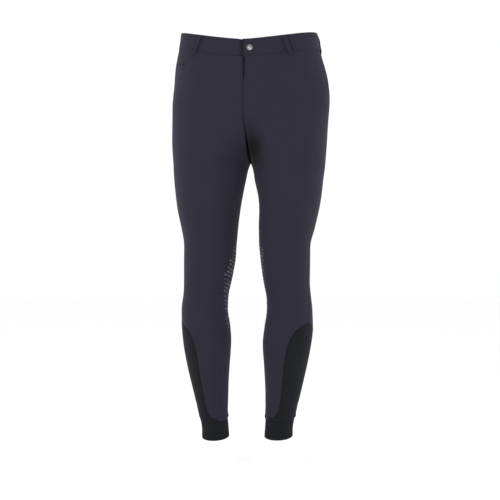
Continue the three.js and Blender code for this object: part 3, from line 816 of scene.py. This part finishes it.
def turnedCap():
    turns = [math.tau * k / snap["turns"] for k in range(snap["turns"])]
    points = [(0.0, 0.0, 0.0)]
    for inside, height in snap["profile"]:
        radius = snap["radius"] - inside
        points += [(radius * math.cos(turn), radius * math.sin(turn), height) for turn in turns]
    points.append((0.0, 0.0, snap["rise"]))
    level = levelAt(1, cut["waistTop"] - cut["bandHeight"] / 2, 90.0)
    angle = angleAtX(1, level, snap["fromMiddle"])
    up = ringNormal(1, level, angle)
    centre = clothPoint(1, level, angle, band["proud"] + band["fuller"] + snap["gap"])
    faces = turnedFaces(len(snap["profile"]), snap["turns"])
    return meshFrom("snap_cap_metal", centre + np.array(points) @ np.stack([*facePlane(up), up]), faces)


snapPiece = turnedCap()

# Sewing: rows of short stitches laid along paths on the cloth. A stitch is a thin spindle, arched a little.
thread = {
    "pitch": 3.1, "length": 2.45, "radius": 0.27, "flat": 0.8, "arch": 0.16, "sunk": 0.02, "corners": 6,
    "spindle": [(-0.9, 0.55), (-0.5, 0.95), (0.0, 1.0), (0.5, 0.95), (0.9, 0.55)],
}


def sewnRow(side, level, angle, out=0, pitch=thread["pitch"]):
    level, angle = np.broadcast_arrays(np.asarray(level, float), np.asarray(angle, float))
    points, normals = clothPoint(side, level, angle, out), ringNormal(side, level, angle)
    length = np.concatenate([[0], np.cumsum(np.linalg.norm(np.diff(points, axis=0), axis=1))])
    marks = np.arange(pitch / 2, length[-1] - pitch / 2, pitch)

    def along(values, shift=0.0):
        return np.stack([np.interp(marks + shift, length, values[:, k]) for k in range(3)], 1)

    tangent = unit(along(points, 0.5) - along(points, -0.5))
    return along(points), tangent, unit(along(normals)), np.full(len(marks), min(1, pitch / thread["pitch"]))


def stitches(name, rows):
    place, tangent, normal, share = [np.concatenate(part) for part in zip(*rows)]
    beside = np.cross(tangent, normal)
    half = (thread["length"] / 2 * share)[:, None]

    def at(t, spread, turn):
        height = thread["arch"] * (1 - t * t) - thread["sunk"]
        lift = height + thread["radius"] * spread * math.sin(turn) * thread["flat"]
        aside = thread["radius"] * spread * math.cos(turn)
        return place + tangent * t * half + normal * lift + beside * aside

    points = [at(-1.0, 0, 0)]
    for t, spread in thread["spindle"]:
        points += [at(t, spread, math.tau * k / thread["corners"]) for k in range(thread["corners"])]
    points = np.stack(points + [at(1.0, 0, 0)], 1)
    faces = turnedFaces(len(thread["spindle"]), thread["corners"])
    return meshFrom(name, points.reshape(-1, 3), copiesOf(faces, points.shape[1], len(place)))


sewing = []
onCloth = {
    "sunk": 0.2, "bandEnd": {1: 91.0, -1: 85.5}, "lapFrom": 86.5, "lapClimb": 5, "lapIn": 0.6,
    "lapShare": 0.85, "pocketTop": -23, "pocketIn": (2.4, 7.6), "coinIn": 0.6, "coinPitch": 2.2,
    "flyTop": -56, "flyIn": (0, 5.5), "flyTip": 1.5, "middleIn": 3.2, "insertIn": 3.0, "aboveCuff": 3,
    "loopAside": 4, "barHalf": 4.6, "barPitch": 1.6,
}
bandLift = band["proud"] - onCloth["sunk"]
rows = []
for side in (1, -1):
    for row in (cut["waistTop"] - band["stitchIn"], bandFoot + band["stitchIn"] + 0.2):
        angle = np.linspace(-90, onCloth["bandEnd"][side], 500)
        lapShare = softStep((angle - onCloth["lapFrom"]) / onCloth["lapClimb"]) if side > 0 else 0
        rows.append(sewnRow(side, levelAt(side, row, angle), angle, bandLift + band["lapLift"] * lapShare))
level = np.linspace(cut["waistTop"] - 4, bandFoot + 4, 60) - cut["frontDip"]
lift = bandLift + onCloth["lapShare"] * band["lapLift"]
rows.append(sewnRow(1, level, angleAtX(1, level, onCloth["lapIn"]), lift))
sewing.append((stitches("stitching_waistband", rows), "navy"))

rows = []
for side in (1, -1):
    level = np.linspace(onCloth["pocketTop"], cut["pocketEnd"] + 1, 200)
    for inset in onCloth["pocketIn"]:
        angle = beyond(side, level, seamAngle["pocket"](level), inset)
        rows.append(sewnRow(side, level, angle, lipLift(side, level, angle)))
angle = np.linspace(coin["from"] + onCloth["coinIn"], coin["to"] - onCloth["coinIn"], 60)
row = coin["mouth"] - coin["stitchIn"]
level = levelAt(coin["side"], row, angle)
lift = coinOut(coin["side"], level, angle, row, 0)
rows.append(sewnRow(coin["side"], level, angle, lift, onCloth["coinPitch"]))
sewing.append((stitches("stitching_pockets", rows), "navy"))

rows = []
quarter = np.linspace(0, math.pi / 2, 60)
straight = np.linspace(onCloth["flyTop"], flyStitch["turnLevel"], 60)[:-1]
for inset in onCloth["flyIn"]:
    reach = flyStitch["reach"] - inset
    deep = flyStitch["turnLevel"] - flyStitch["foot"] - inset
    level = np.concatenate([straight, flyStitch["turnLevel"] - deep * np.sin(quarter)])
    curve = onCloth["flyTip"] + (reach - onCloth["flyTip"]) * np.cos(quarter)
    angle = angleAtX(1, level, np.concatenate([np.full(len(straight), reach), curve]))
    rows.append(sewnRow(1, level, angle, flySew(1, level, angle)))
level = np.linspace(-170, -272, 120)
rows.append(sewnRow(-1, level, angleAtX(-1, level, onCloth["middleIn"] - leanAt(level))))
level = np.linspace(-16, -274, 300)
for side in (1, -1):
    rows.append(sewnRow(side, level, angleAtX(side, level, onCloth["middleIn"] + side * leanAt(level), True)))
sewing.append((stitches("stitching_fly_and_seat", rows), "navy"))

rows = []
row = np.concatenate([np.linspace(-660, -700, 160), np.linspace(-701, -884, 200)])
for side in (1, -1):
    level = row + legLift(side, row)
    for seam, inset in (("insertFront", onCloth["insertIn"]), ("insertBack", -onCloth["insertIn"])):
        rows.append(sewnRow(side, level, beyond(side, level, seamAngle[seam](row), inset)))
    angle = np.linspace(134, 296, 260)
    rows.append(sewnRow(side, levelAt(side, cut["cuffTop"] + onCloth["aboveCuff"], angle), angle))
sewing.append((stitches("stitching_legs", rows), "navy"))

rows = []
for side in (1, -1):
    angle = np.linspace(0, 360, 400)
    level = levelAt(side, cut["hemLevel"] + cuff["hemFold"], angle)
    rows.append(sewnRow(side, level, angle, 0.05 - cuff["inset"]))
sewing.append((stitches("stitching_hems", rows), "black"))

rows = []
line = np.linspace(loopTop - 1, loopFoot + 1, 60)
for loop in loops:
    side = loop["side"]
    for aside in (-onCloth["loopAside"], onCloth["loopAside"]):
        angle = beyond(side, line, loopMiddle(loop, line), aside)
        rows.append(sewnRow(side, levelAt(side, line, angle), angle, loopLift(line) - onCloth["sunk"]))
    across = np.linspace(-onCloth["barHalf"], onCloth["barHalf"], 20)
    for row in (loopTop - loopShape["barIn"], loopFoot + loopShape["barIn"]):
        for shift in (-0.45, 0.1, 0.65):  # a bar of close stitches across each end
            angle = beyond(side, row + shift, loopMiddle(loop, row), across)
            level = levelAt(side, row + shift, angle)
            rows.append(sewnRow(side, level, angle, loopLift(row) + 0.05, onCloth["barPitch"]))
sewing.append((stitches("stitching_loops", rows), "navy"))
print("sewing is in")

# Grip print on the inner knees: a plain lattice of small raised dots. A dot's profile is given as shares of
# its radius and as heights.
grip = {
    "pitch": 9.8, "steps": 26, "radius": 1.8, "rise": 0.55, "middle": 191.0, "seamClear": 3.2, "slant": 16,
    "stray": 1.1, "straySeed": 11, "worn": 0.5, "wornSeed": 7, "turns": 10,
    "profile": [(1.12, -0.15), (1.0, 0.1), (0.82, 0.33), (0.45, 0.5)],
    "level": [-462, -475, -484, -498, -517, -533, -549, -569, -589, -619, -664, -674],
    "frontLeft": [172, 156, 143, 137, 138.5, 143, 147.5, 151, 156, 164, 167, 182],
    "frontRight": [182, 170, 168, 164, 152, 146, 145, 149, 156, 166, 169, 182],
    "back": [200, 214, 218, 222, 232, 238, 240, 236, 230, 220, 215, 200],
}
gripBack = curveThrough(grip["level"], grip["back"])


def gripDots(side):
    gripFront = curveThrough(grip["level"], grip["frontLeft" if side > 0 else "frontRight"])
    steps = np.arange(-grip["steps"], grip["steps"] + 1)
    i, j = np.meshgrid(steps, steps)
    u, v = grip["pitch"] * (i + j / 2), grip["pitch"] * j * math.sqrt(0.75)
    slant = math.radians(grip["slant"])
    stray = grip["stray"] * np.random.default_rng(grip["straySeed"]).uniform(-1, 1, (2, u.size))
    aside = side * (u * math.cos(slant) - v * math.sin(slant)).ravel() + stray[0]
    level = (u * math.sin(slant) + v * math.cos(slant)).ravel() + stray[1]
    level += (grip["level"][0] + grip["level"][-1]) / 2
    angle = beyond(side, level, grip["middle"], aside)
    clear = np.abs(angle - 180) * perDegree(side, level, 180.0) > grip["seamClear"]
    inside = (level < grip["level"][0]) & (level > grip["level"][-1])
    inside &= (angle > gripFront(level)) & (angle < gripBack(level)) & clear
    level, angle = level[inside], angle[inside]
    angle = np.where(angle > 180, angle - 360, angle)
    centre = clothPoint(side, level, angle)
    up = ringNormal(side, level, angle)
    across, forth = facePlane(up)
    size = (1 - grip["worn"] * np.random.default_rng(grip["wornSeed"]).random(len(centre)) ** 2)[:, None]
    turns = grip["turns"]
    points = []
    for share, height in grip["profile"]:
        for k in range(turns):
            a, b = math.cos(math.tau * k / turns), math.sin(math.tau * k / turns)
            points.append(centre + (across * a + forth * b) * grip["radius"] * share * size + up * height)
    points = np.stack(points + [centre + up * grip["rise"]], 1)
    above = [face for face in turnedFaces(len(grip["profile"]), turns) if 0 not in face]
    faces = [tuple(range(turns))[::-1]]  # a dot has a flat foot and no point there
    faces += [tuple(point - 1 for point in face) for face in above]
    allFaces = copiesOf(faces, points.shape[1], len(centre))
    return meshFrom(f"grip_dots_{sideName[side]}", points.reshape(-1, 3), allFaces)


gripPieces = [gripDots(1), gripDots(-1)]
print("grip dots are printed")

# Materials


def addNode(tree, kind, **values):
    node = tree.nodes.new(kind)
    for key, value in values.items():
        if hasattr(node, key):
            setattr(node, key, value)
        else:
            node.inputs[key].default_value = value
    return node


# Links an output to an input in the same node tree
def join(source, target):
    source.id_data.links.new(source, target)


def mathNode(operation, first, second=0.0):
    tree = (second if isinstance(first, float) else first).id_data
    node = addNode(tree, "ShaderNodeMath", operation=operation)
    for slot, value in enumerate((first, second)):
        if isinstance(value, (int, float)):
            node.inputs[slot].default_value = value
        else:
            join(value, node.inputs[slot])
    return node.outputs[0]


def times(first, second):
    return mathNode("MULTIPLY", first, second)


def plus(first, second):
    return mathNode("ADD", first, second)


def minus(first, second):
    return mathNode("SUBTRACT", first, second)


def noiseNode(place, **values):
    node = addNode(place.id_data, "ShaderNodeTexNoise", **values)
    join(place, node.inputs["Vector"])
    return node.outputs[0]


def newGroup(name, inputs, outputs):
    tree = bpy.data.node_groups.new(name, "ShaderNodeTree")
    for label, kind, value in inputs:
        socket = tree.interface.new_socket(name=label, in_out="INPUT", socket_type=kind)
        if value is not None:
            socket.default_value = value
    for label in outputs:
        tree.interface.new_socket(name=label, in_out="OUTPUT", socket_type="NodeSocketFloat")
    return tree, tree.nodes.new("NodeGroupInput").outputs, tree.nodes.new("NodeGroupOutput").inputs


# A fine diagonal stretch weave on the cloth map, in metres: how high each thread lies, from 0 to 1
weaveShape = {"wobbleScale": 260.0, "wobble": 2.2, "crossShare": 0.8, "rib": 0.35, "grain": 0.15}


def weaveGroup():
    tree, given, result = newGroup("stretchWeave", [
        ("Place", "NodeSocketVector", None),
        ("Rib", "NodeSocketFloat", 0.0009),
        ("Slant", "NodeSocketFloat", 0.6),
    ], ["Height"])
    parts = addNode(tree, "ShaderNodeSeparateXYZ")
    join(given["Place"], parts.inputs[0])
    across, along = parts.outputs[0], parts.outputs[1]
    wobble = noiseNode(given["Place"], Scale=weaveShape["wobbleScale"], Detail=2.0)
    slanted = plus(across, times(along, given["Slant"]))
    turn = times(mathNode("DIVIDE", slanted, given["Rib"]), math.tau)
    turn = plus(turn, times(wobble, weaveShape["wobble"]))
    rib = mathNode("SINE", turn)
    crossTurns = mathNode("DIVIDE", along, given["Rib"])
    crossTurn = times(crossTurns, math.tau * weaveShape["crossShare"])
    grain = mathNode("SINE", plus(crossTurn, times(turn, 0.5)))
    height = plus(times(rib, weaveShape["rib"]), times(grain, weaveShape["grain"]))
    join(plus(height, 0.5), result["Height"])
    return tree


# Slow unevenness of dye and nap over the cloth, and the fine fleck of its yarn, around 1
def toneGroup():
    tree, given, result = newGroup("clothTone", [
        ("Place", "NodeSocketVector", None),
        ("Cloud", "NodeSocketFloat", 0.1),
        ("Fleck", "NodeSocketFloat", 0.1),
    ], ["Tone", "Cloud"])
    cloud = noiseNode(given["Place"], Scale=9.0, Detail=4.0, Roughness=0.55)
    fleck = noiseNode(given["Place"], Scale=900.0, Detail=2.0, Roughness=0.6)
    slow = times(minus(cloud, 0.5), given["Cloud"])
    fine = times(minus(fleck, 0.5), given["Fleck"])
    join(plus(plus(slow, fine), 1.0), result["Tone"])
    join(cloud, result["Cloud"])
    return tree


weave, tone = weaveGroup(), toneGroup()


def useGroup(tree, group, **values):
    node = tree.nodes.new("ShaderNodeGroup")
    node.node_tree = group
    for key, value in values.items():
        node.inputs[key].default_value = value
    return node


# Each cloth's look; 'seam' and 'fold' set how much painted shade darkens it along the seams and in creases
# and other shaded places
clothFinish = {
    "navy": {
        "dark": (0.0111, 0.0099, 0.0173), "light": (0.0184, 0.0165, 0.0278), "rib": 0.0009, "slant": 0.6,
        "bump": 0.00010, "roughness": 0.88, "sheen": 0.075, "sheenTint": (0.66, 0.60, 0.84, 1),
        "specular": 0.12, "seam": 0.75, "fold": 0.9, "cloud": 0.22, "fleck": 0.3,
    },
    "black": {
        "dark": (0.0046, 0.0052, 0.0068), "light": (0.0080, 0.0088, 0.0108), "rib": 0.0007, "slant": 0.05,
        "bump": 0.00010, "roughness": 0.9, "sheen": 0.05, "sheenTint": (0.62, 0.66, 0.74, 1),
        "specular": 0.1, "seam": 0.8, "fold": 0.6, "cloud": 0.2, "fleck": 0.35,
    },
}


# A new material, its nodes, where a point lies on the piece and how uneven the surface is there
def startMaterial(name, cloud, fleck):
    material = bpy.data.materials.new(name)
    material.use_nodes = True
    tree = material.node_tree
    place = addNode(tree, "ShaderNodeTexCoord").outputs["Object"]
    shade = useGroup(tree, tone, Cloud=cloud, Fleck=fleck)
    join(place, shade.inputs["Place"])
    return material, tree, place, shade.outputs


# Joins colour, roughness and relief to the surface; "rough" is the mean and "span" how far it varies
def finishSurface(tree, color, strength, cloud, rough, span, height, relief, values):
    surface = tree.nodes["Principled BSDF"].inputs
    toned = addNode(tree, "ShaderNodeVectorMath", operation="SCALE")
    if isinstance(color, tuple):
        toned.inputs[0].default_value = color
    else:
        join(color, toned.inputs[0])
    join(strength, toned.inputs["Scale"])
    join(toned.outputs[0], surface["Base Color"])
    join(plus(times(cloud, span), rough - span / 2), surface["Roughness"])
    bump = addNode(tree, "ShaderNodeBump", **relief)
    join(height, bump.inputs["Height"])
    join(bump.outputs[0], surface["Normal"])
    for key, value in values.items():
        surface[key].default_value = value


def clothMaterial(name, finish):
    material, tree, _, shade = startMaterial(name, finish["cloud"], finish["fleck"])
    mapped = addNode(tree, "ShaderNodeUVMap", uv_map="clothMap")
    threads = useGroup(tree, weave, Rib=finish["rib"], Slant=finish["slant"])
    join(mapped.outputs[0], threads.inputs["Place"])
    height = threads.outputs["Height"]
    ramp = addNode(tree, "ShaderNodeMix", data_type="RGBA")
    ramp.inputs["A"].default_value = (*finish["dark"], 1)
    ramp.inputs["B"].default_value = (*finish["light"], 1)
    join(height, ramp.inputs["Factor"])
    # Painted shade: the colour keeps the share 'seam' of itself along the seams, and loses up to the share
    # 'fold' of itself in creases, hollows and other shaded places
    strength = shade["Tone"]
    for mark, darker in (("nearSeam", 1 - finish["seam"]), ("fold", finish["fold"])):
        found = addNode(tree, "ShaderNodeAttribute", attribute_name=mark).outputs["Fac"]
        strength = times(strength, minus(1.0, times(found, darker)))
    finishSurface(
        tree, ramp.outputs["Result"], strength, shade["Cloud"], finish["roughness"], 0.12, height,
        {"Strength": 0.6, "Distance": finish["bump"]},
        {"Specular IOR Level": finish["specular"], "Sheen Weight": finish["sheen"], "Sheen Roughness": 0.5,
         "Sheen Tint": finish["sheenTint"]})
    return material


def plainMaterial(name, color, roughness, metallic=0.0, fleck=0.3, cloud=0.2, grain=1500.0, bump=0.00004):
    material, tree, place, shade = startMaterial(name, cloud, fleck)
    finishSurface(
        tree, color, shade["Tone"], shade["Cloud"], roughness, 0.14,
        noiseNode(place, Scale=grain, Detail=2.0), {"Strength": 0.5, "Distance": bump},
        {"Metallic": metallic, "Specular IOR Level": 0.25})
    return material


cloths = {
    "navy": clothMaterial("navyStretchCloth", clothFinish["navy"]),
    "black": clothMaterial("blackJersey", clothFinish["black"]),
}
yarns = {
    "navy": plainMaterial("navyThread", (0.018, 0.0165, 0.027), 0.7),
    "black": plainMaterial("blackThread", (0.008, 0.009, 0.011), 0.7),
}
gripSilicone = plainMaterial("greySilicone", (0.21, 0.198, 0.25), 0.42, fleck=0.1, cloud=0.3, bump=0.00002)
snapMetal = plainMaterial(
    "satinMetal", (0.19, 0.19, 0.197), 0.38, metallic=1.0, fleck=0.06, grain=2600.0, bump=0.00001)


def dress(piece, material):
    piece.data.materials.clear()
    piece.data.materials.append(material)
    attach(piece, "root")
    return piece


# The cut cloth by the start of a piece's name: flat width and length in metres, area in square metres where
# the outline is no rectangle, how the cloth is held, and its colour
clothCut = [
    ("front", (0.285, 0.90), 0.150, "stretched", "navy"),
    ("back", (0.29, 0.93), 0.172, "stretched", "navy"),
    ("calf_insert", (0.117, 0.268), 0.023, "stretched", "black"),
    ("cuff", (0.22, 0.043), None, "stretched", "black"),
    ("waistband_left", (0.445, 0.04), None, "stretched", "navy"),
    ("waistband_right", (0.473, 0.04), None, "stretched", "navy"),
    ("belt_loop", (0.012, 0.049), None, "folded", "navy"),
    ("pocket_facing", (0.071, 0.13), 0.0067, "hung", "navy"),
    ("coin_pocket", (0.019, 0.011), None, "hung", "navy"),
    ("fly_underlap", (0.046, 0.109), None, "hung", "navy"),
]
for piece in (*panels, *inserts, *cuffs, *waistbands, *loopPieces, *facings, coinPiece, underlapPiece):
    node = piece.name.replace("_cloth", "")
    _, flat, area, held, color = next(row for row in clothCut if node.startswith(row[0]))
    dress(piece, cloths[color])
    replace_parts(piece, node)
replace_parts(dress(snapPiece, snapMetal), "snap_cap")
for piece, kind in sewing:
    dress(piece, yarns[kind])
for piece in gripPieces:
    dress(piece, gripSilicone)
print("materials are on")

# Floor, light and camera

studio = {
    "floorLevel": -1014, "floorRadius": 9000, "floorCorners": 96, "world": 1.02, "cameraAzimuth": 8,
    "cameraAway": 2.5, "cameraLevel": -0.489, "lens": 76.6,
}
# Each lamp's place and target, its width and height, all in metres, and its power in watts
softBoxes = {
    "side_box_left": {"place": (1.7, 0.35, -0.35), "target": (0, 0, -0.5), "size": (1.6, 1.6), "power": 5},
    "side_box_right": {"place": (-1.7, 0.35, -0.35), "target": (0, 0, -0.5), "size": (1.6, 1.6), "power": 5},
    "front_box": {"place": (-0.7, -2.5, 0.55), "target": (0, 0, -0.7), "size": (0.9, 0.7), "power": 20},
    "fill_box": {"place": (0.6, -2.5, -0.7), "target": (0, 0, -0.55), "size": (2.0, 2.0), "power": 33},
}

radius, corners = studio["floorRadius"], studio["floorCorners"]
around = [math.tau * k / corners for k in range(corners)]
rim = [(radius * math.cos(turn), radius * math.sin(turn), studio["floorLevel"]) for turn in around]
floor = meshFrom("studio_floor", rim, [tuple(range(corners))])
paper = plainMaterial("palePaper", (0.97, 0.97, 0.97), 0.8, fleck=0.0, cloud=0.01, bump=0.0)
floor.data.materials.append(paper)

world = bpy.data.worlds.new("paleStudio")
world.use_nodes = True
world.node_tree.nodes["Background"].inputs["Color"].default_value = (1, 1, 1, 1)
world.node_tree.nodes["Background"].inputs["Strength"].default_value = studio["world"]
bpy.context.scene.world = world


for name, box in softBoxes.items():
    lamp = bpy.data.lights.new(name, "AREA")
    lamp.shape = "RECTANGLE"
    lamp.size, lamp.size_y = box["size"]
    lamp.energy = box["power"]
    stand = bpy.data.objects.new(name, lamp)
    bpy.context.collection.objects.link(stand)
    stand.location = box["place"]
    way = np.array(box["target"]) - np.array(box["place"])
    stand.rotation_euler = (math.atan2(math.hypot(way[0], way[1]), -way[2]), 0, math.atan2(-way[0], way[1]))

azimuth = math.radians(studio["cameraAzimuth"])
lens = bpy.data.cameras.new("photoView")
lens.lens = studio["lens"]
camera = bpy.data.objects.new("photoView", lens)
bpy.context.collection.objects.link(camera)
camera.location = (studio["cameraAway"] * math.sin(azimuth), -studio["cameraAway"] * math.cos(azimuth),
                   studio["cameraLevel"])
camera.rotation_euler = (math.pi / 2, 0, azimuth)
bpy.context.scene.camera = camera
bpy.context.scene.view_settings.view_transform = "Standard"
print("the studio is lit")
